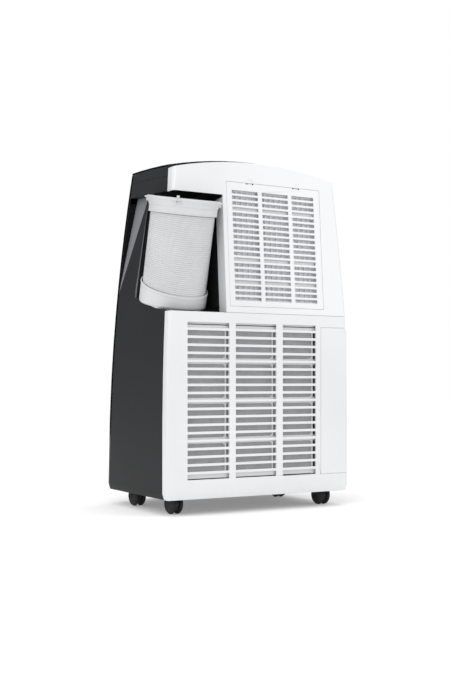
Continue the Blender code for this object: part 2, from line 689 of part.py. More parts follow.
def hose():
    rim = 0.0030
    lip = 0.0020
    height = CUP_HIGH - CUP_LOW
    cup = turned(
        "hose_cup",
        (
            (CUP_RADIUS, height),
            (CUP_RADIUS, 0.004),
            (CUP_RADIUS - 0.004, 0.0),
            (0.054, 0.0),
            (0.054, rim),
            (CUP_RADIUS - lip, rim),
            (CUP_RADIUS - lip, height),
        ),
        "soft_white",
        40,
    )
    for vert in cup.data.vertices:
        if vert.co.z > height / 2:
            vert.co.z -= vert.co.y * math.tan(RIM_LEAN - HOSE_LEAN)
    lean(cup, on_hose(CUP_LOW), HOSE_LEAN)

    ribs = 12
    start = CUP_LOW + rim + 0.0005
    end = COLLAR_LOW + 0.0080
    pitch = (end - start) / ribs
    outer = []
    for rib in range(ribs):
        top = end - start - rib * pitch
        outer += [(HOSE_RADIUS - 0.0022, top), (HOSE_RADIUS, top - pitch / 2)]
    outer.append((HOSE_RADIUS - 0.0022, 0.0))
    bellows = turned("hose_bellows", outer + [(HOSE_RADIUS - 0.0045, 0.0), (HOSE_RADIUS - 0.0045, end - start)], "soft_white", 32)
    lean(bellows, on_hose(start), HOSE_LEAN)

    tall = NOZZLE_HIGH - COLLAR_LOW
    nozzle = turned(
        "hose_nozzle",
        (
            (FLANGE_RADIUS, tall),
            (FLANGE_RADIUS, tall - 0.004),
            (HOSE_RADIUS + 0.0048, tall - 0.016),
            (HOSE_RADIUS + 0.0035, 0.0),
            (HOSE_RADIUS + 0.0010, 0.0),
            (HOSE_RADIUS + 0.0010, 0.0140),
            (HOSE_RADIUS - 0.0060, 0.0160),
            (HOSE_RADIUS - 0.0060, tall),
        ),
        "soft_white",
        40,
    )
    place = on_hose(COLLAR_LOW)
    for number, angle in enumerate((53.4, 143.4, 233.4, -36.6)):
        ear = box(f"ear_{number}", (FLANGE_RADIUS - 0.003, -0.0065, tall - 0.010), (FLANGE_RADIUS + 0.0055, 0.0065, tall - 0.0005))
        ear.data.transform(Matrix.Rotation(math.radians(angle), 4, "Z"))
        lean(ear, place, NOZZLE_LEAN)
        join(nozzle, ear)
        if number in (1, 3):
            middle = FLANGE_RADIUS + 0.002
            hole = rod(f"ear_hole_{number}", (middle, 0, 0), (middle, 0, 0.1), 0.0020, None, 16)
            hole.data.transform(Matrix.Rotation(math.radians(angle), 4, "Z"))
            lean(hole, place, NOZZLE_LEAN)
            cut(nozzle, hole)
    hook = box("hook", (FLANGE_RADIUS - 0.004, -0.003, tall - 0.006), (FLANGE_RADIUS + 0.001, 0.003, tall + 0.0045))
    hook.data.transform(Matrix.Rotation(math.radians(53.4), 4, "Z"))
    join(nozzle, lean(hook, place, NOZZLE_LEAN))
    lean(nozzle, place, NOZZLE_LEAN)
    return cup


# ---------------------------------------------------------------- base and castors
def base():
    pan = copy_of(LINING, "base_pan", "matt_black")
    keep(pan, box("base_region", (-WIDE, -WIDE, BASE_LOW), (WIDE, WIDE, BASE_HIGH)))
    pocket = shaped("tray_pocket", WALL * 2, 0.1, 0.1)
    keep(pocket, box("tray_region", (-WIDE, -WIDE, TRAY_FLOOR), (WIDE, WIDE, HIGH)))
    spots = [(side * CASTOR_X, y) for side in (1, -1) for y in CASTOR_Y]
    for x, y in spots:
        cut(pocket, rod(f"island_{x}_{y}", (x, y, 0), (x, y, 0.1), WELL_RADIUS + 0.003, None, 32))
    cut(pan, settle(pocket))
    for x, y in spots:
        cut(pan, rod(f"well_{x}_{y}", (x, y, 0), (x, y, WELL_TOP), WELL_RADIUS, None, 32))
        cut(pan, rod(f"stem_hole_{x}_{y}", (x, y, 0), (x, y, 0.1), 0.0056, None, 20))
    return pan


def castor(tag, x, y):
    """A twin-wheel swivel castor: the housing turns on its stem and the two wheels share an axle."""
    pin = rod(f"castor_{tag}_housing", (x, y, WELL_TOP - 0.010), (x, y, BASE_HIGH - 0.002), 0.0050, "matt_black", 16)
    wheel_y = y + CASTOR_TRAIL
    hub = rod(f"{tag}_web", (x - 0.0040, wheel_y, WHEEL_RADIUS), (x + 0.0040, wheel_y, WHEEL_RADIUS), 0.0155, None, 24)
    collar = rod(f"{tag}_collar", (x, y, 0.030), (x, y, WELL_TOP - 0.0012), 0.0090, None, 20)
    trim = box(f"{tag}_trim", (x - 0.0040, y - 0.006, 0.026), (x + 0.0040, wheel_y, WELL_TOP - 0.006))
    saddle = box(f"{tag}_slice", (x - 0.0040, y - 0.012, 0.020), (x + 0.0040, y + 0.012, WELL_TOP))
    keep(collar, saddle)
    bore = rod(f"{tag}_bore", (x - 0.02, wheel_y, WHEEL_RADIUS), (x + 0.02, wheel_y, WHEEL_RADIUS), 0.0034, None, 16)
    join(pin, settle(collar), trim, hub)
    cut(pin, bore)

    half = WHEEL_WIDTH
    gap = 0.0053
    axle = 0.0030
    profile = (
        (axle, gap + half),
        (0.0130, gap + half),
        (0.0190, gap + half - 0.0022),
        (WHEEL_RADIUS, gap + half - 0.0060),
        (WHEEL_RADIUS, gap + 0.0012),
        (WHEEL_RADIUS - 0.0012, gap),
        (axle, gap),
        (axle, -gap),
        (WHEEL_RADIUS - 0.0012, -gap),
        (WHEEL_RADIUS, -gap - 0.0012),
        (WHEEL_RADIUS, -gap - half + 0.0060),
        (0.0190, -gap - half + 0.0022),
        (0.0130, -gap - half),
        (axle, -gap - half),
        (0.0006, -gap - half),
        (0.0006, gap + half),
    )
    wheel = turned(f"castor_{tag}_wheels", profile, "rubber", 28)
    wheel.rotation_euler = (0, math.radians(90), 0)
    wheel.location = (x, wheel_y, WHEEL_RADIUS)
    return pin


# ---------------------------------------------------------------- inside the machine
def inside():
    deck_plate = copy_of(LINING, "mid_deck", "matt_black")
    keep(deck_plate, box("mid_region", (-WIDE, -WIDE, 0.3985), (WIDE, -0.020, 0.4020)))
    cut(deck_plate, box("duct_pass", (0.108, -0.158, 0.3), (0.212, -0.050, 0.5)))
    cut(deck_plate, box("pipe_pass", (-0.205, -0.175, 0.3), (-0.165, -0.110, 0.5)))

    box("condenser_coil", (-0.188, -0.054, 0.0640), (0.188, -0.030, 0.394), "aluminium")
    box("evaporator_coil", (-0.156, -0.068, 0.4300), (0.074, -0.042, 0.690), "aluminium")

    rod("compressor", (-0.105, -0.190, 0.0660), (-0.105, -0.190, 0.236), 0.056, "matt_black", 32)
    dome = rod("dome", (-0.105, -0.190, 0.2355), (-0.105, -0.190, 0.250), 0.056, None, 32, 0.030)
    flange = rod("foot_plate", (-0.105, -0.190, 0.0630), (-0.105, -0.190, 0.0662), 0.072, None, 32)
    join(bpy.data.objects["compressor"], dome, flange)
    for number in range(3):
        angle = math.radians(30 + 120 * number)
        x, y = -0.105 + 0.063 * math.cos(angle), -0.190 + 0.063 * math.sin(angle)
        rod(f"compressor_foot_{number + 1}", (x, y, TRAY_FLOOR + 0.0003), (x, y, 0.0627), 0.0085, "rubber", 16)
    rod("accumulator", (-0.026, -0.215, 0.080), (-0.026, -0.215, 0.190), 0.0180, "matt_black", 24)

    blower("condenser", (0.075, -0.115, 0.215), 0.098, 0.078, 0.078, ((0.116, 0.204), (0.215, 0.4040)))
    blower("evaporator", (-0.050, -0.160, 0.535), 0.094, 0.074, 0.080, ((-0.1440, 0.0440), (0.535, 0.6500)))

    box("control_box", (0.090, -0.235, 0.440), (0.160, -0.185, 0.590), "matt_black")
    rod("run_capacitor", (0.055, -0.235, 0.4030), (0.055, -0.235, 0.480), 0.0170, "aluminium", 24)

    tube("discharge_pipe", ((-0.120, -0.175, 0.2518), (-0.122, -0.165, 0.290), (-0.160, -0.120, 0.310), (-0.196, -0.080, 0.330), (-0.197, -0.048, 0.345)), 0.0035, "copper")
    tube("suction_pipe", ((-0.026, -0.215, 0.1903), (-0.030, -0.215, 0.310), (-0.120, -0.190, 0.350), (-0.185, -0.150, 0.375), (-0.186, -0.140, 0.430), (-0.180, -0.090, 0.470), (-0.164, -0.060, 0.500)), 0.0045, "copper")
    tube("capillary_tube", ((-0.196, -0.042, 0.200), (-0.202, -0.080, 0.260), (-0.200, -0.130, 0.360), (-0.195, -0.130, 0.430), (-0.188, -0.075, 0.540), (-0.162, -0.052, 0.600)), 0.0015, "copper")

    plug = rod("drain_plug", (-0.2272, -0.245, 0.080), (-0.2248, -0.245, 0.080), 0.0130, "rubber", 24)
    join(plug, rod("plug_stem", (-0.2260, -0.245, 0.080), (-0.2120, -0.245, 0.080), 0.0088, None, 20))
    gland = rod("cord_gland", (-0.2270, -0.200, 0.120), (-0.2248, -0.200, 0.120), 0.0125, "rubber", 24)
    join(gland, rod("gland_stem", (-0.2325, -0.200, 0.120), (-0.2160, -0.200, 0.120), 0.0088, None, 20))


def blower(tag, centre, radius, wheel_radius, width, neck):
    """A scroll housing with its neck, the blower wheel inside it and the motor on its front."""
    x, y, z = centre
    rear, front = y + width / 2, y - width / 2
    (neck_left, neck_right), (neck_low, neck_high) = neck
    shell = 0.0025
    housing = rod(f"{tag}_fan_housing", (x, rear, z), (x, front, z), radius, "matt_black", 40)
    join(housing, box(f"{tag}_neck", (neck_left, front, neck_low), (neck_right, rear, neck_high)))
    hollow = rod(f"{tag}_hollow", (x, rear - shell, z), (x, front + shell, z), radius - shell, None, 40)
    inner_low = (neck_left + shell, front + shell, neck_low)
    join(hollow, box(f"{tag}_neck_hollow", inner_low, (neck_right - shell, rear - shell, neck_high + 0.02)))
    cut(housing, settle(hollow))
    cut(housing, rod(f"{tag}_inlet", (x, y, z), (x, rear + 0.02, z), wheel_radius * 0.78, None, 32))
    cut(housing, rod(f"{tag}_shaft_hole", (x, y, z), (x, front - 0.02, z), 0.0085, None, 20))

    back_plate = rod(f"{tag}_blower_wheel", (x, front + 0.008, z), (x, front + 0.011, z), wheel_radius, "soft_white", 32)
    ring = rod(f"{tag}_shroud", (x, rear - 0.013, z), (x, rear - 0.010, z), wheel_radius, None, 32)
    cut(ring, rod(f"{tag}_eye", (x, rear - 0.02, z), (x, rear, z), wheel_radius * 0.78, None, 32))
    blades = []
    for number in range(12):
        angle = math.radians(30 * number)
        blade = box(f"{tag}_blade_{number}", (wheel_radius * 0.80, -0.0009, 0.0), (wheel_radius * 0.985, 0.0009, width - 0.0195))
        turn = Matrix.Rotation(math.radians(90), 4, "X") @ Matrix.Rotation(angle, 4, "Z")
        blade.data.transform(turn)
        blade.data.transform(Matrix.Translation((x, rear - 0.0105, z)))
        blades.append(blade)
    hub = rod(f"{tag}_hub", (x, front + 0.009, z), (x, front + 0.030, z), 0.012, None, 20)
    join(back_plate, settle(ring), *blades, hub)
    cut(back_plate, rod(f"{tag}_hub_bore", (x, front, z), (x, front + 0.026, z), 0.0045, None, 16))
    rod(f"{tag}_fan_motor", (x, front - 0.0505, z), (x, front - 0.0010, z), 0.040, "steel", 28)
    join(bpy.data.objects[f"{tag}_fan_motor"], rod(f"{tag}_shaft", (x, front - 0.010, z), (x, front + 0.025, z), 0.0040, None, 16))


def tube(name, points, radius, finish):
    """A pipe along a smooth curve through its points."""
    count = len(points)
    samples = []
    for i in range(count - 1):
        p0 = Vector(points[max(i - 1, 0)])
        p1, p2 = Vector(points[i]), Vector(points[i + 1])
        p3 = Vector(points[min(i + 2, count - 1)])
        for step in range(4):
            t = step / 4
            samples.append(
                0.5 * (2 * p1 + (p2 - p0) * t + (2 * p0 - 5 * p1 + 4 * p2 - p3) * t * t + (3 * p1 - p0 - 3 * p2 + p3) * t ** 3)
            )
    samples.append(Vector(points[-1]))
    curve = bpy.data.curves.new(name, "CURVE")
    curve.dimensions = "3D"
    curve.bevel_depth = radius
    curve.bevel_resolution = 1
    curve.use_fill_caps = True
    spline = curve.splines.new("POLY")
    spline.points.add(len(samples) - 1)
    for point, place in zip(spline.points, samples):
        point.co = (*place, 1)
    piece = bpy.data.objects.new(name, curve)
    piece.parent = ORIGIN
    PARTS.objects.link(piece)
    curve.materials.append(material(name, finish))
    return piece


lower_back()
upper_back()
left_flank()
right_flank()
front()
top_skirt()
deck()
controls()
outlet()
evaporator_cover()
condenser_drawer()
liner()
hose()
base()
for end, castor_y in zip(("rear", "front"), CASTOR_Y):
    castor(f"{end}_left", CASTOR_X, castor_y)
    castor(f"{end}_right", -CASTOR_X, castor_y)
inside()
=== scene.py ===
"""A portable air conditioner: every moulding, filter, hose part and castor, with its finish, floor and lights.

Laid out as a Blender add-on. Each group of pieces has its own operator, and the panel in the sidebar lists them.
All lengths are metres. Z = 0 is the floor, -Y is the gloss front and +X is the side of the hose niche.
"""

import json
import math

import bmesh
import bpy
from bpy.props import FloatProperty, FloatVectorProperty, IntProperty, PointerProperty
from mathutils import Matrix, Vector


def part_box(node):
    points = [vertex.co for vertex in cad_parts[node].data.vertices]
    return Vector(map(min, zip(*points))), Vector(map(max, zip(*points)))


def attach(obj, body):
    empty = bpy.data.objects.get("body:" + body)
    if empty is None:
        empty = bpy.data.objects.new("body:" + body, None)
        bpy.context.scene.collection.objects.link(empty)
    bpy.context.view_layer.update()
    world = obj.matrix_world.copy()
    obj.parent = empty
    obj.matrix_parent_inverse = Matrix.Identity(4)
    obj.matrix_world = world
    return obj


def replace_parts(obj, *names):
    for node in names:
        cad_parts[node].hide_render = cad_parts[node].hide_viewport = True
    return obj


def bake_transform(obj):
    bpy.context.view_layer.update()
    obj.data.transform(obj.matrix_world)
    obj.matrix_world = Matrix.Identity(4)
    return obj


bl_info = {
    "name": "Portable Air Conditioner",
    "version": (1, 0, 0),
    "blender": (4, 5, 0),
    "location": "3D View > Sidebar > Air Conditioner",
    "description": "Models the shell, filters, exhaust hose, castors and inner parts of a portable air conditioner",
    "category": "Object",
}

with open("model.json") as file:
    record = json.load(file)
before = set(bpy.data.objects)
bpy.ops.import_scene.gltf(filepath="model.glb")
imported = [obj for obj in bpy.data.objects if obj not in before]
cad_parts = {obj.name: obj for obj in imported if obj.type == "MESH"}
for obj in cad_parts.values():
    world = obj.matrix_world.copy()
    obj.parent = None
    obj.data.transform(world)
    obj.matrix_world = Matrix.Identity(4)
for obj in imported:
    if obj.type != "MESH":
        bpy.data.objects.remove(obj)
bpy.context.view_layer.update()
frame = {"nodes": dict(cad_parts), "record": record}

# The cabinet's centre line and the plane of its lower back, in the row's frame.
CENTRE_X = -0.0042
BACK_Y = 0.1633
WAIST = 0.4165

# The stowed hose: a cup in the niche, ribbed bellows and a lugged collar, on an axis that leans back.
HOSE_FOOT = Vector((0.164 + CENTRE_X, -0.1005 + BACK_Y, WAIST))
HOSE_LEAN = math.radians(14.5)
COLLAR_LEAN = math.radians(11.5)
RIM_LEAN = math.radians(25)
HOSE_AXIS = Vector((0.0, math.sin(HOSE_LEAN), math.cos(HOSE_LEAN)))
NICHE_WALL, NICHE_FRONT = 0.0865, -0.167
BACK_LEAN = 0.07
CUP_LOW, CUP_HIGH, COLLAR_LOW, COLLAR_HIGH = 0.0195, 0.0605, 0.2105, 0.243
HOSE_RADIUS, CUP_RADIUS, FLANGE_RADIUS = 0.0673, 0.0714, 0.0768
LUG_ANGLES = (53.4, 143.4, 233.4, 323.4)

# The lower grille: top of the first slot, pitch and height of the slots, and the filter's upright bars.
LOWER_FIRST, LOWER_PITCH, LOWER_SLOT = 0.3944, 0.01634, 0.0110
FILTER_UPRIGHTS = (0.0845, -0.0309, -0.1325)

CASTORS = {
    "rear_left": (0.184, -0.060),
    "rear_right": (-0.184, -0.060),
    "front_left": (0.184, -0.236),
    "front_right": (-0.184, -0.236),
}


def on_hose(distance):
    return HOSE_FOOT + HOSE_AXIS * distance


def on_upper_back():
    """The frame of the upper back: its foot at the waist, leaning forward."""
    return Matrix.Translation(here(0, 0, WAIST)) @ Matrix.Rotation(math.atan(BACK_LEAN), 4, "X")


def here(x, y, z):
    """A point given from the cabinet's centre line and its lower back, in the row's frame."""
    return Vector((x + CENTRE_X, y + BACK_Y, z))


# ---------------------------------------------------------------- settings
class CabinetSettings(bpy.types.PropertyGroup):
    white: FloatVectorProperty(
        name="White moulding", description="Colour of the louvred back", subtype="COLOR", default=(0.68, 0.69, 0.70)
    )
    graphite: FloatVectorProperty(
        name="Dark grey moulding",
        description="Colour of the sides",
        subtype="COLOR",
        default=(0.0210, 0.0215, 0.0230),
    )
    gloss_black: FloatVectorProperty(
        name="Gloss black",
        description="Colour of the front and the lid",
        subtype="COLOR",
        default=(0.0035, 0.0035, 0.0042),
    )
    edge_radius: FloatProperty(
        name="Edge radius", description="Rounding of the mouldings' edges", default=0.0006, unit="LENGTH"
    )


class FilterSettings(bpy.types.PropertyGroup):
    net: FloatVectorProperty(
        name="Filter net", description="Colour of the woven filter nets", subtype="COLOR", default=(0.40, 0.41, 0.42)
    )
    thread_pitch: FloatProperty(
        name="Thread pitch", description="Spacing of the net's threads", default=0.0013, unit="LENGTH"
    )


class HoseSettings(bpy.types.PropertyGroup):
    colour: FloatVectorProperty(
        name="Hose colour",
        description="Colour of the cup, bellows and collar",
        subtype="COLOR",
        default=(0.56, 0.57, 0.58),
    )
    ribs: IntProperty(name="Ribs", description="Number of folds in the bellows", default=40, min=8, max=60)
    rib_depth: FloatProperty(name="Rib depth", description="Height of each fold", default=0.0017, unit="LENGTH")


class CastorSettings(bpy.types.PropertyGroup):
    grooves: IntProperty(
        name="Tread grooves",
        description="Grooves round each tread",
        default=2,
        min=0,
        max=4,
    )


class StageSettings(bpy.types.PropertyGroup):
    floor: FloatVectorProperty(
        name="Floor colour", description="Colour of the floor", subtype="COLOR", default=(0.80, 0.80, 0.80)
    )
    key_power: FloatProperty(name="Key light", description="Power of the large soft light in watts", default=24.0)


# ---------------------------------------------------------------- materials
class Finish:
    """A Principled material with a few helpers that keep each recipe short."""

    def __init__(self, name, colour, roughness, metallic=0.0, coat=0.0, specular=0.5):
        self.material = bpy.data.materials.new(name)
        self.material.use_nodes = True
        self.tree = self.material.node_tree
        self.shader = self.tree.nodes["Principled BSDF"]
        self.shader.inputs["Base Color"].default_value = (*colour, 1.0)
        self.shader.inputs["Roughness"].default_value = roughness
        self.shader.inputs["Metallic"].default_value = metallic
        self.shader.inputs["Coat Weight"].default_value = coat
        self.shader.inputs["Coat Roughness"].default_value = 0.05
        self.shader.inputs["Specular IOR Level"].default_value = specular
        self.colour = colour
        self.normal = None
        self.where = self.add("ShaderNodeTexCoord").outputs["Object"]

    def add(self, kind, **settings):
        node = self.tree.nodes.new(kind)
        for key, value in settings.items():
            setattr(node, key, value)
        return node

    def link(self, source, target):
        self.tree.links.new(source, target)
        return target

    def noise(self, scale, detail=3.0, roughness=0.5, squeeze=None):
        node = self.add("ShaderNodeTexNoise")
        node.inputs["Scale"].default_value = scale
        node.inputs["Detail"].default_value = detail
        node.inputs["Roughness"].default_value = roughness
        source = self.where
        if squeeze:
            mapping = self.add("ShaderNodeMapping")
            mapping.inputs["Scale"].default_value = squeeze
            self.link(source, mapping.inputs["Vector"])
            source = mapping.outputs["Vector"]
        self.link(source, node.inputs["Vector"])
        return node.outputs["Fac"]

    def cells(self, scale, feature="F1"):
        node = self.add("ShaderNodeTexVoronoi", feature=feature)
        node.inputs["Scale"].default_value = scale
        self.link(self.where, node.inputs["Vector"])
        return node.outputs["Distance"]

    def bands(self, scale, direction="X", sharpness=1.0):
        """Even bands across one axis: 0 to 1 and back once per 1 / scale metres."""
        part = self.add("ShaderNodeSeparateXYZ")
        self.link(self.where, part.inputs["Vector"])
        turns = self.math("MULTIPLY", part.outputs[direction], scale * 2 * math.pi)
        wave = self.math("SINE", turns, 0.0)
        lifted = self.math("MULTIPLY_ADD", wave, 0.5, 0.5)
        return lifted if sharpness == 1.0 else self.math("POWER", lifted, sharpness)

    def math(self, operation, first, second, third=None):
        node = self.add("ShaderNodeMath", operation=operation)
        for socket, value in zip(node.inputs, (first, second, third)):
            if value is None:
                continue
            if isinstance(value, (int, float)):
                socket.default_value = value
            else:
                self.link(value, socket)
        return node.outputs["Value"]

    def spread(self, source, low, high):
        node = self.add("ShaderNodeMapRange")
        node.inputs["To Min"].default_value = low
        node.inputs["To Max"].default_value = high
        self.link(source, node.inputs["Value"])
        return node.outputs["Result"]

    def tint(self, source, first, second, low=0.0, high=1.0):
        """Colour that runs from first to second as source goes from low to high."""
        ramp = self.add("ShaderNodeValToRGB")
        ramp.color_ramp.elements[0].position = low
        ramp.color_ramp.elements[0].color = (*first, 1.0)
        ramp.color_ramp.elements[1].position = high
        ramp.color_ramp.elements[1].color = (*second, 1.0)
        self.link(source, ramp.inputs["Fac"])
        return ramp.outputs["Color"]

    def paint(self, colour):
        self.link(colour, self.shader.inputs["Base Color"])
        return self

    def rough(self, source, low, high):
        self.link(self.spread(source, low, high), self.shader.inputs["Roughness"])
        return self

    def raise_by(self, source, strength, depth=0.001):
        bump = self.add("ShaderNodeBump")
        bump.inputs["Strength"].default_value = strength
        bump.inputs["Distance"].default_value = depth
        self.link(source, bump.inputs["Height"])
        if self.normal:
            self.link(self.normal, bump.inputs["Normal"])
        self.normal = bump.outputs["Normal"]
        self.link(self.normal, self.shader.inputs["Normal"])
        return self


def shade(colour, factor):
    return tuple(min(1.0, channel * factor) for channel in colour)


def moulded_plastic(name, colour, roughness, grain=1400.0, depth=0.05, coat=0.0):
    """Injection moulding: fine spark-eroded grain, faint flow marks and slow colour drift."""
    finish = Finish(name, colour, roughness, coat=coat)
    grain_height = finish.noise(grain, 4.0, 0.6)
    drift = finish.noise(4.0, 2.0)
    flow = finish.noise(9.0, 3.0, 0.5, squeeze=(1.0, 1.0, 0.15))
    finish.paint(finish.tint(drift, shade(colour, 0.965), shade(colour, 1.03), 0.3, 0.7))
    finish.rough(flow, roughness - 0.05, roughness + 0.06)
    finish.raise_by(grain_height, depth, 0.0004)
    return finish.material


def grained_plastic(name, colour, roughness):
    """Dark panel with a leather-like grain over a finer sparkle."""
    finish = Finish(name, colour, roughness, specular=0.14)
    pebbles = finish.cells(900.0)
    fine = finish.noise(2400.0, 2.0, 0.7)
    drift = finish.noise(3.0, 3.0)
    finish.paint(finish.tint(drift, shade(colour, 0.92), shade(colour, 1.10), 0.3, 0.7))
    finish.rough(fine, roughness - 0.04, roughness + 0.08)
    finish.raise_by(pebbles, 0.16, 0.0005)
    finish.raise_by(fine, 0.06, 0.0003)
    return finish.material


def piano_gloss(name, colour):
    """Polished black with a clear coat, a trace of orange peel and fine dust in the shine."""
    finish = Finish(name, colour, 0.10, coat=0.06, specular=0.22)
    finish.shader.inputs["Coat Roughness"].default_value = 0.04
    peel = finish.noise(55.0, 2.0)
    dust = finish.noise(600.0, 6.0, 0.8)
    finish.paint(finish.tint(dust, colour, shade(colour, 2.2), 0.55, 0.85))
    finish.rough(dust, 0.08, 0.20)
    finish.raise_by(peel, 0.02, 0.0006)
    return finish.material


def black_moulding(name, colour, roughness):
    """Structural black plastic with drawn flow lines and a dull, slightly dusty face."""
    finish = Finish(name, colour, roughness, specular=0.35)
    flow = finish.noise(26.0, 5.0, 0.6, squeeze=(1.0, 1.0, 0.2))
    grain = finish.noise(900.0, 3.0)
    finish.paint(finish.tint(flow, shade(colour, 0.8), shade(colour, 1.7), 0.35, 0.75))
    finish.rough(flow, roughness - 0.08, roughness + 0.1)
    finish.raise_by(grain, 0.08, 0.0004)
    return finish.material


def hose_plastic(name, colour):
    """Blow-moulded off-white plastic: softly shiny, a little see-through, faint scuffs."""
    finish = Finish(name, colour, 0.42)
    finish.shader.inputs["Subsurface Weight"].default_value = 0.03
    finish.shader.inputs["Subsurface Radius"].default_value = (0.004, 0.0035, 0.003)
    cloud = finish.noise(14.0, 3.0)
    scuff = finish.noise(220.0, 6.0, 0.75)
    finish.paint(finish.tint(cloud, shade(colour, 0.955), shade(colour, 1.03), 0.3, 0.7))
    finish.rough(scuff, 0.34, 0.52)
    finish.raise_by(scuff, 0.006, 0.0003)
    return finish.material


def rubber(name, colour):
    """Moulded rubber: matt, finely pitted, greyer where it is scuffed."""
    finish = Finish(name, colour, 0.75, specular=0.3)
    pits = finish.noise(1500.0, 3.0, 0.7)
    scuff = finish.noise(60.0, 5.0, 0.7)
    finish.paint(finish.tint(scuff, shade(colour, 0.8), shade(colour, 2.0), 0.4, 0.8))
    finish.rough(scuff, 0.62, 0.85)
    finish.raise_by(pits, 0.15, 0.0003)
    return finish.material


def woven_net(name, colour, pitch):
    """A filter net: pale threads that run both ways, with painted shade in the openings between them."""
    finish = Finish(name, colour, 0.6)
    across = finish.bands(1.0 / pitch, "X", 1.5)
    upward = finish.bands(1.0 / pitch, "Z", 1.5)
    threads = finish.math("MAXIMUM", across, upward)
    lint = finish.noise(35.0, 5.0, 0.7)
    # painted shade in the openings between the threads; the lint below is real dirt
    thread_colour = finish.tint(threads, shade(colour, 0.35), shade(colour, 1.25), 0.25, 0.75)
    mix = finish.add("ShaderNodeMix", data_type="RGBA", blend_type="MULTIPLY")
    mix.inputs["Factor"].default_value = 1.0
    finish.link(thread_colour, mix.inputs["A"])
    finish.link(finish.tint(lint, (0.82, 0.82, 0.82), (1.0, 1.0, 1.0), 0.3, 0.7), mix.inputs["B"])
    finish.paint(mix.outputs["Result"])
    finish.raise_by(threads, 0.5, 0.0004)
    return finish.material


def pressed_fins(name, colour):
    """Coil face: close upright fins with painted shade in the gaps between them, a few darker streaky patches, and the
    tubes' rows behind.
    """
    finish = Finish(name, colour, 0.35, metallic=0.9)
    fins = finish.bands(1.0 / 0.0018, "X", 2.0)
    rows = finish.bands(1.0 / 0.0254, "Z", 6.0)
    dark_streaks = finish.noise(70.0, 3.0, 0.6, squeeze=(1.0, 1.0, 0.4))
    # painted shade: the gaps between the fins are darkened
    painted_gap_shade = finish.tint(fins, shade(colour, 0.22), colour, 0.15, 0.65)
    mix = finish.add("ShaderNodeMix", data_type="RGBA", blend_type="MULTIPLY")
    mix.inputs["Factor"].default_value = 1.0
    finish.link(painted_gap_shade, mix.inputs["A"])
    finish.link(finish.tint(dark_streaks, (0.7, 0.7, 0.7), (1.0, 1.0, 1.0), 0.3, 0.6), mix.inputs["B"])
    finish.paint(mix.outputs["Result"])
    finish.raise_by(fins, 0.8, 0.0006)
    finish.raise_by(rows, 0.25, 0.0008)
    return finish.material


def bare_steel(name, colour):
    """Drawn steel can: fine marks round it and a faint bloom."""
    finish = Finish(name, colour, 0.3, metallic=1.0)
    drawn = finish.noise(160.0, 4.0, 0.6, squeeze=(1.0, 0.06, 1.0))
    bloom = finish.noise(18.0, 3.0)
    finish.paint(finish.tint(bloom, shade(colour, 0.82), shade(colour, 1.1), 0.3, 0.7))
    finish.rough(drawn, 0.2, 0.42)
    finish.raise_by(drawn, 0.08, 0.0003)
    return finish.material


def copper_tube(name, colour):
    """Drawn copper with brown oxide clouds and brazing heat marks."""
    finish = Finish(name, colour, 0.28, metallic=1.0)
    cloud = finish.noise(34.0, 5.0, 0.65)
    drawn = finish.noise(500.0, 3.0)
    finish.paint(finish.tint(cloud, (0.30, 0.12, 0.06), colour, 0.25, 0.6))
    finish.rough(cloud, 0.22, 0.5)
    finish.raise_by(drawn, 0.05, 0.0002)
    return finish.material


def painted_sheet(name, colour):
    """Powder-coated steel: low orange peel and a few rubbed spots."""
    finish = Finish(name, colour, 0.45, coat=0.15)
    peel = finish.noise(420.0, 3.0, 0.55)
    rubbed = finish.noise(28.0, 6.0, 0.75)
    finish.paint(finish.tint(rubbed, colour, shade(colour, 2.6), 0.62, 0.8))
    finish.rough(rubbed, 0.38, 0.6)
    finish.raise_by(peel, 0.12, 0.0004)
    return finish.material


def smoked_window(name, colour):
    """The display's dark window: smoked, clear-coated and a little uneven."""
    finish = Finish(name, colour, 0.08, coat=1.0)
    smoke = finish.noise(300.0, 2.0)
    finish.paint(finish.tint(smoke, colour, shade(colour, 1.8), 0.4, 0.8))
    finish.rough(smoke, 0.05, 0.12)
    return finish.material


PALETTE = {}


def palette():
    """Every finish, made once from the panel's colours."""
    if PALETTE:
        return PALETTE
    cabinet = bpy.context.scene.aircon_cabinet
    filters = bpy.context.scene.aircon_filters
    hose = bpy.context.scene.aircon_hose
    PALETTE.update(
        white_shell=moulded_plastic("white_moulding", cabinet.white, 0.32, coat=0.25),
        graphite_panel=grained_plastic("graphite_grain", cabinet.graphite, 0.5),
        gloss_black=piano_gloss("piano_black", cabinet.gloss_black),
        display=smoked_window("display_smoke", (0.012, 0.013, 0.016)),
        button_cap=moulded_plastic("button_grey", (0.52, 0.53, 0.54), 0.38),
        black_moulding=black_moulding("inner_black", (0.006, 0.006, 0.0065), 0.6),
        painted_steel=painted_sheet("powder_coat", (0.022, 0.022, 0.024)),
        soft_white=hose_plastic("hose_white", hose.colour),
        filter_frame=moulded_plastic("filter_frame_white", shade(cabinet.white, 0.97), 0.45),
        filter_net=woven_net("filter_net", filters.net, filters.thread_pitch),
        pale_net=woven_net("pale_filter_net", shade(filters.net, 1.75), filters.thread_pitch),
        # paler copy of the grey grain: painted highlight on the hand hold and the niche's edge
        hold_facing=grained_plastic("painted_highlight_grain", shade(cabinet.graphite, 9.0), 0.36),
        castor_housing=black_moulding("castor_nylon", (0.016, 0.016, 0.017), 0.45),
        castor_wheel=rubber("castor_tread", (0.020, 0.020, 0.021)),
        fin_aluminium=pressed_fins("coil_fins", (0.62, 0.63, 0.64)),
        motor_steel=bare_steel("motor_can", (0.52, 0.52, 0.53)),
        rubber=rubber("seal_rubber", (0.022, 0.022, 0.022)),
        copper=copper_tube("copper_pipe", (0.72, 0.33, 0.18)),
    )
    return PALETTE


# ---------------------------------------------------------------- mesh helpers
def new_piece(name, bm, body, material, smooth_angle=32.0):
    """A finished piece at the origin that rides on body: normals outwards, soft faces and sharp creases."""
    bmesh.ops.recalc_face_normals(bm, faces=bm.faces)
    return keep_piece(name, bm, body, material, smooth_angle)


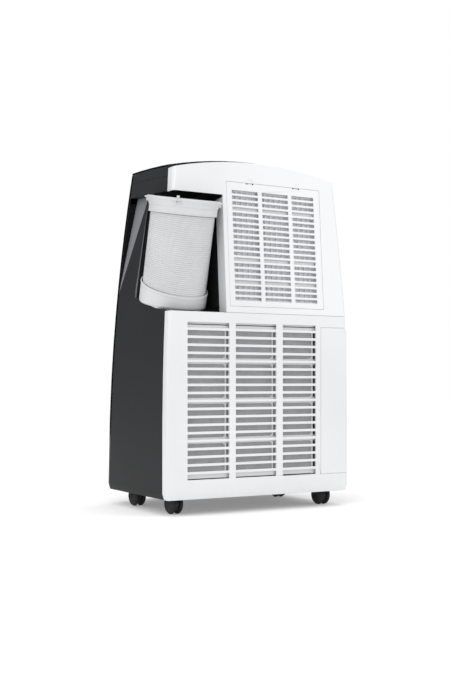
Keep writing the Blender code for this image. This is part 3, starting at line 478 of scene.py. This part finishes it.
def keep_piece(name, bm, body, material, smooth_angle=32.0):
    limit = math.radians(smooth_angle)
    for edge in bm.edges:
        edge.smooth = len(edge.link_faces) == 2 and edge.calc_face_angle(0.0) < limit
    for face in bm.faces:
        face.smooth = True
    mesh = bpy.data.meshes.new(name)
    bm.to_mesh(mesh)
    bm.free()
    piece = bpy.data.objects.new(name, mesh)
    bpy.context.scene.collection.objects.link(piece)
    mesh.materials.append(palette()[material])
    if body:
        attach(piece, body)
    return piece


def bevel(bm, edges, width, segments=2):
    bmesh.ops.bevel(
        bm,
        geom=list(edges),
        offset=width,
        offset_type="OFFSET",
        segments=segments,
        profile=0.5,
        affect="EDGES",
        material=-1,
        clamp_overlap=True,
    )


def join_in(bm, part, place):
    """Adds a finished small mesh to bm, moved to its place."""
    bmesh.ops.transform(part, matrix=place, verts=part.verts)
    mesh = bpy.data.meshes.new("part")
    part.to_mesh(mesh)
    part.free()
    bm.from_mesh(mesh)
    bpy.data.meshes.remove(mesh)


def block(bm, size, centre, turn=None, width=0.0, segments=2):
    """A box with rounded edges, turned and then moved to its place."""
    part = bmesh.new()
    bmesh.ops.create_cube(part, size=1.0)
    bmesh.ops.scale(part, vec=size, verts=part.verts)
    if width:
        bevel(part, part.edges, width, segments)
    join_in(bm, part, Matrix.Translation(centre) @ (turn or Matrix.Identity(4)))


def ring(bm, profile, place, steps=64):
    """A turned piece from a closed profile of (radius, height), spun once round place's own Z axis."""
    part = bmesh.new()
    verts = [part.verts.new((radius, 0.0, height)) for radius, height in profile]
    edges = [part.edges.new(pair) for pair in zip(verts, verts[1:] + verts[:1])]
    bmesh.ops.spin(
        part,
        geom=verts + edges,
        cent=(0, 0, 0),
        axis=(0, 0, 1),
        angle=2 * math.pi,
        steps=steps,
        use_merge=True,
    )
    bmesh.ops.remove_doubles(part, verts=part.verts, dist=1e-6)
    join_in(bm, part, place)


def disc(bm, radius, low, high, place, steps=32):
    """A solid round plate or pin between two heights."""
    part = bmesh.new()
    bmesh.ops.create_cone(
        part, cap_ends=True, cap_tris=False, segments=steps, radius1=radius, radius2=radius, depth=high - low
    )
    bmesh.ops.translate(part, vec=(0, 0, (low + high) / 2), verts=part.verts)
    join_in(bm, part, place)


def stand(point, lean):
    """A matrix that puts a piece drawn upright at the origin on point, tipped towards the back."""
    return Matrix.Translation(point) @ Matrix.Rotation(-lean, 4, "X")


def merged_copy(node, whole_faces=True):
    """The node's own mesh as a bmesh with its loose triangles joined and its flat faces made whole."""
    bm = bmesh.new()
    bm.from_mesh(frame["nodes"][node].data)
    bmesh.ops.remove_doubles(bm, verts=bm.verts, dist=1e-6)
    if whole_faces:
        bmesh.ops.dissolve_limit(
            bm, angle_limit=math.radians(0.6), use_dissolve_boundaries=False, verts=bm.verts, edges=bm.edges
        )
    return bm


def faces_of(node, wanted):
    """The node's faces that pass wanted(normal, middle), as a bmesh of their own."""
    bm = merged_copy(node, whole_faces=False)
    others = [face for face in bm.faces if not wanted(face.normal, face.calc_center_median())]
    bmesh.ops.delete(bm, geom=others, context="FACES")
    if not bm.faces:
        raise RuntimeError(f"{node} has no such face")
    return bm


def skin_piece(name, bm, material, thickness=0.0003):
    """A thin skin laid on copied faces."""
    for vert in bm.verts:
        vert.co += vert.normal * 0.0001
    bmesh.ops.solidify(bm, geom=bm.faces[:], thickness=-thickness)
    return new_piece(name, bm, "cabinet", material)


def hollow_out(piece, centre, radius):
    """Cuts a round dish into a finished piece with a ball at centre."""
    bm = bmesh.new()
    bmesh.ops.create_uvsphere(bm, u_segments=48, v_segments=32, radius=radius)
    bmesh.ops.translate(bm, vec=centre, verts=bm.verts)
    mesh = bpy.data.meshes.new("ball")
    bm.to_mesh(mesh)
    bm.free()
    ball = bpy.data.objects.new("ball", mesh)
    bpy.context.scene.collection.objects.link(ball)
    cutter = piece.modifiers.new("dish", "BOOLEAN")
    cutter.operation = "DIFFERENCE"
    cutter.solver = "EXACT"
    cutter.object = ball
    others = [item for item in piece.modifiers if item != cutter]
    shown = [item.show_viewport for item in others]
    for item in others:
        item.show_viewport = False
    graph = bpy.context.evaluated_depsgraph_get()
    cut_mesh = bpy.data.meshes.new_from_object(piece.evaluated_get(graph))
    for item, state in zip(others, shown):
        item.show_viewport = state
    piece.modifiers.remove(cutter)
    bpy.data.objects.remove(ball)
    piece.data = cut_mesh


def body_of(node):
    for body, members in frame["record"]["behaviour"]["bodies"].items():
        if node in members:
            return body
    raise RuntimeError(f"{node} is in no body")


def soften(node, material, width=0.0006, crease=30.0, segments=2, whole_faces=True):
    """Replaces a node with its own shape, edges rounded and curved faces shaded smooth."""
    bm = merged_copy(node, whole_faces and width > 0)
    piece = keep_piece(f"{node}_moulding", bm, body_of(node), material, crease)
    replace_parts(piece, node)
    if not width:
        return piece
    rounding = piece.modifiers.new("edge_rounding", "BEVEL")
    rounding.width = width
    rounding.segments = segments
    rounding.limit_method = "ANGLE"
    rounding.angle_limit = math.radians(crease)
    rounding.use_clamp_overlap = True
    rounding.harden_normals = False
    rounding.miter_outer = "MITER_ARC"
    weighted = piece.modifiers.new("even_shading", "WEIGHTED_NORMAL")
    weighted.keep_sharp = True
    return piece


def finish_nodes(finishes):
    """Gives each CAD node that stays its finish."""
    for node, material in finishes.items():
        target = frame["nodes"][node]
        target.data.materials.clear()
        target.data.materials.append(palette()[material])


# ---------------------------------------------------------------- shell
class AIRCON_OT_white_shell(bpy.types.Operator):
    """The two white panels of the back and the covers of both filters"""

    bl_idname = "aircon.white_shell"
    bl_label = "White shell"

    def execute(self, context):
        radius = context.scene.aircon_cabinet.edge_radius
        for node in ("rear_lower_panel", "rear_upper_panel", "evaporator_filter_cover"):
            piece = soften(node, "white_shell", radius, whole_faces=False)
            if node == "rear_upper_panel":
                tip = on_upper_back()
                ball = 0.030
                for x, depth in ((0.019, 0.0016), (-0.0975, 0.0009)):
                    hollow_out(piece, tip @ Vector((x, ball - depth, 0.2775)), ball)
        soften("condenser_filter_drawer", "white_shell", 0.0)
        return {"FINISHED"}


class AIRCON_OT_dark_sides(bpy.types.Operator):
    """The two dark grey sides and the skirt above them"""

    bl_idname = "aircon.dark_sides"
    bl_label = "Dark sides"

    def execute(self, context):
        for node in ("side_panel_left", "side_panel_right", "top_cover"):
            soften(node, "graphite_panel", 0.0008)
        return {"FINISHED"}


class AIRCON_OT_gloss_front(bpy.types.Operator):
    """The gloss black front, lid, control panel and outlet flap"""

    bl_idname = "aircon.gloss_front"
    bl_label = "Gloss front and lid"

    def execute(self, context):
        for node in ("front_panel", "top_deck", "control_panel", "outlet_flap"):
            soften(node, "gloss_black", 0.0006)
        for node in frame["nodes"]:
            if node.startswith("button_"):
                soften(node, "button_cap", 0.0007, segments=3)
        soften("display_window", "display", 0.0004)
        return {"FINISHED"}


class AIRCON_OT_hose(bpy.types.Operator):
    """The exhaust hose: cup, ribbed bellows and the collar with its four lugs"""

    bl_idname = "aircon.hose"
    bl_label = "Exhaust hose"

    def execute(self, context):
        settings = context.scene.aircon_hose
        self.make_cup()
        self.make_bellows(settings.ribs, settings.rib_depth)
        self.make_collar()
        return {"FINISHED"}

    def make_cup(self):
        bm = bmesh.new()
        outer = CUP_RADIUS
        tall = CUP_HIGH - CUP_LOW
        profile = (
            (outer - 0.0006, tall),
            (outer, tall - 0.0006),
            (outer, tall - 0.0042),
            (outer - 0.0007, tall - 0.0048),
            (outer - 0.0007, 0.0060),
            (outer - 0.0010, 0.0042),
            (outer - 0.0022, 0.0018),
            (outer - 0.0042, 0.0002),
            (outer - 0.0056, 0.0),
            (0.0546, 0.0),
            (0.0540, 0.0006),
            (0.0540, 0.0024),
            (0.0546, 0.0030),
            (outer - 0.0030, 0.0030),
            (outer - 0.0020, 0.0040),
            (outer - 0.0020, tall - 0.0005),
            (outer - 0.0016, tall),
        )
        ring(bm, profile, Matrix.Identity(4), 96)
        for vert in bm.verts:
            if vert.co.z > tall / 2:
                vert.co.z -= vert.co.y * math.tan(RIM_LEAN - HOSE_LEAN)
        bmesh.ops.transform(bm, matrix=stand(on_hose(CUP_LOW), HOSE_LEAN), verts=bm.verts)
        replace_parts(new_piece("hose_cup_turned", bm, "cabinet", "soft_white"), "hose_cup")

    def make_bellows(self, ribs, depth):
        bm = bmesh.new()
        low, high = CUP_LOW + 0.0038, COLLAR_LOW + 0.0080
        crest = HOSE_RADIUS
        pitch = (COLLAR_LOW - CUP_HIGH + 0.006) / ribs
        count = int((high - low) / pitch)
        profile = [(crest - depth - 0.0012, high - low)]
        for rib in range(count):
            top = high - low - rib * pitch
            profile += [
                (crest - depth, top - pitch * 0.06),
                (crest - depth * 0.28, top - pitch * 0.26),
                (crest, top - pitch * 0.50),
                (crest - depth * 0.28, top - pitch * 0.74),
                (crest - depth, top - pitch * 0.94),
            ]
        root = crest - depth
        profile += [(root - 0.0012, 0.0), (root - 0.0020, 0.0), (root - 0.0020, high - low)]
        ring(bm, profile, Matrix.Identity(4), 160)
        for vert in bm.verts:
            share = vert.co.z / (high - low)
            turn = (RIM_LEAN - HOSE_LEAN) * (1.0 - share) + (COLLAR_LEAN - HOSE_LEAN) * share
            vert.co.z -= vert.co.y * math.tan(turn)
        bmesh.ops.transform(bm, matrix=stand(on_hose(low), HOSE_LEAN), verts=bm.verts)
        piece = new_piece("hose_bellows_ribbed", bm, None, "soft_white", 60.0)
        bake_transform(piece)
        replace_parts(piece, "hose_bellows")

    def make_collar(self):
        bm = bmesh.new()
        place = stand(on_hose(COLLAR_LOW), COLLAR_LEAN)
        tall = COLLAR_HIGH - COLLAR_LOW
        flange = FLANGE_RADIUS
        profile = (
            (flange - 0.0014, tall),
            (flange - 0.0005, tall - 0.0004),
            (flange, tall - 0.0014),
            (flange, tall - 0.0048),
            (flange - 0.0004, tall - 0.0056),
            (flange - 0.0012, tall - 0.0068),
            (0.0738, tall - 0.0115),
            (0.0726, tall - 0.0150),
            (0.0721, tall - 0.0175),
            (0.0712, tall - 0.0180),
            (0.0710, 0.0024),
            (0.0716, 0.0020),
            (0.0716, 0.0005),
            (0.0711, 0.0),
            (0.0687, 0.0),
            (0.0683, 0.0004),
            (0.0683, 0.0140),
            (0.0616, 0.0158),
            (0.0613, 0.0165),
            (0.0613, 0.0215),
            (0.0660, 0.0250),
            (0.0715, 0.0300),
            (0.0738, tall - 0.0010),
            (0.0745, tall - 0.0002),
            (0.0752, tall),
        )
        ring(bm, profile, place, 96)
        for number, degrees in enumerate(LUG_ANGLES):
            spin = Matrix.Rotation(math.radians(degrees), 4, "Z")
            parts = [((0.0085, 0.0126, 0.0034), (0.0777, 0, tall - 0.0040), 0.0012)]
            parts += [((0.0034, 0.0030, 0.0085), (0.0762, side * 0.0046, tall - 0.0082), 0.0007) for side in (1, -1)]
            if number == 0:
                parts.append(((0.0042, 0.0058, 0.0092), (0.0752, 0, tall + 0.0001), 0.0010))
            for size, spot, width in parts:
                block(bm, size, (0, 0, 0), place @ spin @ Matrix.Translation(spot), width)
        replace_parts(new_piece("hose_collar_turned", bm, "hose", "soft_white"), "hose_nozzle")
        # black discs on the lugs' tops: painted shade standing for the holes through the lugs
        painted_hole_shade = bmesh.new()
        for degrees in LUG_ANGLES:
            spin = Matrix.Rotation(math.radians(degrees), 4, "Z")
            spot = place @ spin @ Matrix.Translation((0.0795, 0, tall - 0.00225))
            disc(painted_hole_shade, 0.0015, -0.0002, 0.0002, spot, 16)
        new_piece("hose_lug_painted_holes", painted_hole_shade, "hose", "black_moulding")


class AIRCON_OT_niche(bpy.types.Operator):
    """The black tub that the hose stands in"""

    bl_idname = "aircon.niche"
    bl_label = "Hose niche"

    def execute(self, context):
        soften("niche_liner", "black_moulding", 0.0008)
        self.make_return()
        self.make_hold_facing()
        self.make_edge_highlight()
        return {"FINISHED"}

    def make_return(self):
        """The white return of the upper back, on the niche's inner wall."""
        tip = on_upper_back()
        bm = bmesh.new()
        spot = tip @ Matrix.Translation((NICHE_WALL + 0.00022, -0.0150, 0.1215))
        block(bm, (0.0003, 0.0285, 0.2400), (0, 0, 0), spot)
        new_piece("niche_return", bm, "cabinet", "white_shell")

    def make_hold_facing(self):
        """A painted highlight on the slope of the hand hold beside the niche: a paler copy of the grey grain laid on as
        a skin, cut off along a diagonal.
        """
        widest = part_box("side_panel_left")[1].x
        bm = faces_of(
            "side_panel_left",
            lambda normal, spot: normal.x > 0.9
            and normal.z > 0.1
            and spot.z > WAIST + 0.04
            and spot.x < widest - 0.006,
        )
        low = min(vert.co.z for vert in bm.verts)
        high = max(vert.co.z for vert in bm.verts)
        rear = max(vert.co.y for vert in bm.verts)
        front = min(vert.co.y for vert in bm.verts if vert.co.z < low + 0.02)
        bmesh.ops.bisect_plane(
            bm,
            geom=bm.verts[:] + bm.edges[:] + bm.faces[:],
            dist=1e-6,
            plane_co=(0.0, rear, high),
            plane_no=Vector((0.0, high - low, front - rear)).normalized(),
            clear_outer=True,
        )
        skin_piece("hand_hold_facing", bm, "hold_facing")

    def make_edge_highlight(self):
        """A painted highlight on the niche's front edge, where the side panel's wall shows its thickness: a paler copy
        of the grey grain laid on as a skin.
        """
        edge = NICHE_FRONT + BACK_Y
        bm = faces_of(
            "side_panel_left",
            lambda normal, spot: normal.y > 0.9 and abs(spot.y - edge) < 0.0008 and spot.z > WAIST and spot.x > 0.19,
        )
        skin_piece("niche_edge_painted_highlight", bm, "hold_facing")


class AIRCON_OT_filters(bpy.types.Operator):
    """Both filters: white frames, woven nets and the clips of the upper cover"""

    bl_idname = "aircon.filters"
    bl_label = "Filters"

    def execute(self, context):
        soften("evaporator_filter", "filter_frame", 0.0)
        self.make_lower_net()
        self.make_upper_net()
        return {"FINISHED"}

    def make_lower_net(self):
        bm = bmesh.new()
        block(bm, (0.342, 0.0004, 0.306), here(0.0110, -0.0100, 0.2315))
        new_piece("condenser_net", bm, "lower_filter_drawer", "filter_net")
        bars = bmesh.new()
        # black strips beside each upright: painted shade standing for the gap beside the bar
        painted_gap_shade = bmesh.new()
        left, right = -0.1435, 0.1780
        high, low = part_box("condenser_filter_drawer")[1].z - 0.0008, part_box("condenser_filter_drawer")[0].z + 0.0008
        rows = [LOWER_FIRST - LOWER_PITCH * row - LOWER_SLOT - 0.0027 for row in (4, 9, 14)]
        for edge in FILTER_UPRIGHTS:
            block(bars, (0.0046, 0.0012, high - low), here(edge, -0.0088, (low + high) / 2), width=0.0003, segments=1)
            block(painted_gap_shade, (0.0034, 0.0006, high - low), here(edge - 0.0044, -0.0091, (low + high) / 2))
            for row in rows:
                for side in (1, -1):
                    corner = here(edge + 0.0030, -0.0088, row + side * 0.0062)
                    block(bars, (0.0050, 0.0011, 0.0050), corner, Matrix.Rotation(math.radians(45), 4, "Y"))
        for row in rows:
            crossbar = here((left + right) / 2, -0.0087, row)
            block(bars, (right - left, 0.0012, 0.0125), crossbar, width=0.0003, segments=1)
        top_bar = here((left + right) / 2, -0.0086, high - 0.0050)
        block(bars, (right - left, 0.0012, 0.0100), top_bar, width=0.0003, segments=1)
        rail = bmesh.new()
        block(rail, (right - left, 0.0030, 0.0086), here((left + right) / 2, -0.0078, high + 0.0058), width=0.0005)
        new_piece("drawer_rail", rail, "cabinet", "filter_frame")
        new_piece("condenser_filter_bars", bars, "lower_filter_drawer", "filter_frame")
        new_piece("condenser_filter_gap_shade", painted_gap_shade, "lower_filter_drawer", "black_moulding")

    def make_upper_net(self):
        lean = on_upper_back()
        bm = bmesh.new()
        block(bm, (0.212, 0.0004, 0.236), (0, 0, 0), lean @ Matrix.Translation((-0.0398, -0.0090, 0.1440)))
        new_piece("evaporator_net", bm, "upper_filter_cover", "pale_net")
        ribs = bmesh.new()
        for left, right in ((-0.0035, 0.0635), (-0.0745, -0.0065), (-0.1430, -0.0775)):
            for share in (0.2, 0.4, 0.6, 0.8):
                x = left + (right - left) * share
                spot = lean @ Matrix.Translation((x, -0.0076, 0.1440))
                block(ribs, (0.0030, 0.0022, 0.2400), (0, 0, 0), spot, 0.0004, 1)
        new_piece("evaporator_filter_ribs", ribs, "upper_filter_cover", "filter_frame")
        clips = bmesh.new()
        for x in (0.019, -0.0975):
            block(clips, (0.0120, 0.0022, 0.0020), (0, 0, 0), lean @ Matrix.Translation((x, -0.0016, 0.2746)), 0.0006)
        new_piece("cover_clips", clips, "upper_filter_cover", "white_shell")


class AIRCON_OT_castors(bpy.types.Operator):
    """Four twin-wheel castors with grooved treads, hub caps and hooded housings"""

    bl_idname = "aircon.castors"
    bl_label = "Castors"

    def execute(self, context):
        grooves = context.scene.aircon_castors.grooves
        for tag, (x, y) in CASTORS.items():
            self.make_wheels(tag, here(x, y + 0.010, 0.022), grooves)
            soften(f"castor_{tag}_housing", "castor_housing", 0.0008)
        return {"FINISHED"}

    def make_wheels(self, tag, centre, grooves):
        bm = bmesh.new()
        for side in (1, -1):
            place = Matrix.Translation(centre) @ Matrix.Rotation(math.radians(90 * side), 4, "Y")
            near, far = 0.0053, 0.0145
            profile = [(0.0036, far - 0.0008), (0.0044, far), (0.0060, far), (0.0066, far - 0.0010)]
            profile += [(0.0120, far - 0.0010), (0.0126, far - 0.0002), (0.0140, far - 0.0002)]
            profile += [(0.0172, far - 0.0012), (0.0200, far - 0.0030), (0.0214, far - 0.0048)]
            for groove in range(grooves):
                middle = far - 0.0062 - groove * 0.0016
                profile += [(0.0219, middle + 0.0005), (0.0214, middle + 0.0002)]
                profile += [(0.0214, middle - 0.0002), (0.0219, middle - 0.0005)]
            profile += [(0.0220, near + 0.0014), (0.0216, near + 0.0004), (0.0206, near), (0.0036, near)]
            ring(bm, profile, place, 48)
        disc(bm, 0.0029, -0.0140, 0.0140, Matrix.Translation(centre) @ Matrix.Rotation(math.radians(90), 4, "Y"), 20)
        piece = new_piece(f"castor_{tag}_treads", bm, f"{tag}_wheels", "castor_wheel")
        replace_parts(piece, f"castor_{tag}_wheels")


class AIRCON_OT_outlet(bpy.types.Operator):
    """The air outlet behind the flap: duct, vanes, link and the flap's motor"""

    bl_idname = "aircon.outlet"
    bl_label = "Air outlet"

    def execute(self, context):
        for number in range(1, 6):
            soften(f"outlet_vane_{number}", "black_moulding", 0.0003, segments=1)
        soften("outlet_duct", "black_moulding", 0.0006)
        soften("vane_link", "black_moulding", 0.0003, segments=1)
        soften("louvre_motor", "motor_steel", 0.0006)
        return {"FINISHED"}


class AIRCON_OT_machinery(bpy.types.Operator):
    """The refrigerant circuit, the blowers and the base"""

    bl_idname = "aircon.machinery"
    bl_label = "Machinery"

    def execute(self, context):
        finish_nodes(
            {
                "condenser_coil": "fin_aluminium",
                "evaporator_coil": "fin_aluminium",
                "suction_pipe": "copper",
                "discharge_pipe": "copper",
                "capillary_tube": "copper",
                "mid_deck": "black_moulding",
            }
        )
        for node in ("base_pan", "compressor", "accumulator"):
            soften(node, "painted_steel", 0.0010, segments=3)
        for node in ("condenser_fan_housing", "evaporator_fan_housing", "control_box"):
            soften(node, "black_moulding", 0.0008)
        for node in ("condenser_blower_wheel", "evaporator_blower_wheel"):
            soften(node, "soft_white", 0.0004, segments=1)
        for node in ("condenser_fan_motor", "evaporator_fan_motor", "run_capacitor"):
            soften(node, "motor_steel", 0.0010)
        for node in ("compressor_foot_1", "compressor_foot_2", "compressor_foot_3", "drain_plug", "cord_gland"):
            soften(node, "rubber", 0.0008)
        return {"FINISHED"}


class AIRCON_OT_stage(bpy.types.Operator):
    """The floor, the soft lights and the camera"""

    bl_idname = "aircon.stage"
    bl_label = "Stage"

    def execute(self, context):
        settings = context.scene.aircon_stage
        self.make_floor(settings.floor)
        self.make_dark_card()
        self.light("key_light", (2.4, 2.6, 2.3), (0.1, 0.1, 0.35), 1.8, settings.key_power)
        self.light("side_fill", (3.0, -0.6, 1.5), (0.15, 0.0, 0.35), 1.6, settings.key_power * 0.35)
        self.light("back_fill", (-2.2, 2.4, 1.6), (0.0, 0.1, 0.35), 1.6, settings.key_power * 0.45)
        self.light("top_light", (0.0, 0.0, 2.8), (0.0, 0.0, 0.3), 2.2, settings.key_power * 0.5)
        self.make_camera(context)
        world = bpy.data.worlds.new("studio")
        world.use_nodes = True
        world.node_tree.nodes["Background"].inputs["Color"].default_value = (1.0, 1.0, 1.0, 1.0)
        world.node_tree.nodes["Background"].inputs["Strength"].default_value = 1.0
        context.scene.world = world
        context.scene.view_settings.view_transform = "Standard"
        return {"FINISHED"}

    def make_floor(self, colour):
        bm = bmesh.new()
        bmesh.ops.create_grid(bm, x_segments=1, y_segments=1, size=12.0)
        mesh = bpy.data.meshes.new("floor")
        bm.to_mesh(mesh)
        bm.free()
        floor = bpy.data.objects.new("floor", mesh)
        bpy.context.scene.collection.objects.link(floor)
        finish = Finish("studio_floor", colour, 0.6, specular=0.0)
        finish.rough(finish.noise(2.0), 0.55, 0.65)
        finish.shader.inputs["Emission Color"].default_value = (1.0, 1.0, 1.0, 1.0)
        finish.shader.inputs["Emission Strength"].default_value = 0.22
        mesh.materials.append(finish.material)

    def make_dark_card(self):
        """A black card off to one side, so that the gloss front has something dark to reflect at its edge."""
        bm = bmesh.new()
        block(bm, (3.2, 0.02, 2.4), (1.55, -3.2, 1.2))
        mesh = bpy.data.meshes.new("dark_card")
        bm.to_mesh(mesh)
        bm.free()
        card = bpy.data.objects.new("dark_card", mesh)
        bpy.context.scene.collection.objects.link(card)
        finish = Finish("card_black", (0.004, 0.004, 0.004), 0.9, specular=0.0)
        finish.rough(finish.noise(5.0), 0.85, 0.95)
        mesh.materials.append(finish.material)
        card.visible_camera = False
        card.visible_diffuse = False
        card.visible_shadow = False

    def light(self, name, place, target, size, power):
        data = bpy.data.lights.new(name, "AREA")
        data.shape = "DISK"
        data.size = size
        data.energy = power
        lamp = bpy.data.objects.new(name, data)
        lamp.location = place
        lamp.rotation_euler = (Vector(target) - Vector(place)).to_track_quat("-Z", "Y").to_euler()
        bpy.context.scene.collection.objects.link(lamp)

    def make_camera(self, context):
        data = bpy.data.cameras.new("camera")
        data.lens = 57.67
        data.sensor_width = 36.0
        data.shift_y = 0.0647
        camera = bpy.data.objects.new("camera", data)
        camera.location = here(1.204, 1.937, 0.274)
        camera.rotation_euler = (math.radians(90), 0, math.radians(150.11))
        context.scene.collection.objects.link(camera)
        context.scene.camera = camera


class AIRCON_PT_panel(bpy.types.Panel):
    """Sizes, colours and one button for each group of pieces"""

    bl_label = "Air Conditioner"
    bl_idname = "AIRCON_PT_panel"
    bl_space_type = "VIEW_3D"
    bl_region_type = "UI"
    bl_category = "Air Conditioner"

    def draw(self, context):
        layout = self.layout
        for name, group in SETTINGS.items():
            box = layout.box()
            settings = getattr(context.scene, name)
            for field in group.__annotations__:
                box.prop(settings, field)
        for operator in OPERATORS:
            layout.operator(operator.bl_idname)


SETTINGS = {
    "aircon_cabinet": CabinetSettings,
    "aircon_filters": FilterSettings,
    "aircon_hose": HoseSettings,
    "aircon_castors": CastorSettings,
    "aircon_stage": StageSettings,
}
OPERATORS = (
    AIRCON_OT_white_shell,
    AIRCON_OT_dark_sides,
    AIRCON_OT_gloss_front,
    AIRCON_OT_filters,
    AIRCON_OT_niche,
    AIRCON_OT_hose,
    AIRCON_OT_castors,
    AIRCON_OT_outlet,
    AIRCON_OT_machinery,
    AIRCON_OT_stage,
)


def register():
    for group in SETTINGS.values():
        bpy.utils.register_class(group)
    for operator in OPERATORS:
        bpy.utils.register_class(operator)
    bpy.utils.register_class(AIRCON_PT_panel)
    for name, group in SETTINGS.items():
        setattr(bpy.types.Scene, name, PointerProperty(type=group))


def unregister():
    for name in SETTINGS:
        delattr(bpy.types.Scene, name)
    bpy.utils.unregister_class(AIRCON_PT_panel)
    for operator in reversed(OPERATORS):
        bpy.utils.unregister_class(operator)
    for group in reversed(list(SETTINGS.values())):
        bpy.utils.unregister_class(group)


def main():
    register()
    for operator in OPERATORS:
        family, name = operator.bl_idname.split(".")
        getattr(getattr(bpy.ops, family), name)()


if __name__ == "__main__":
    main()
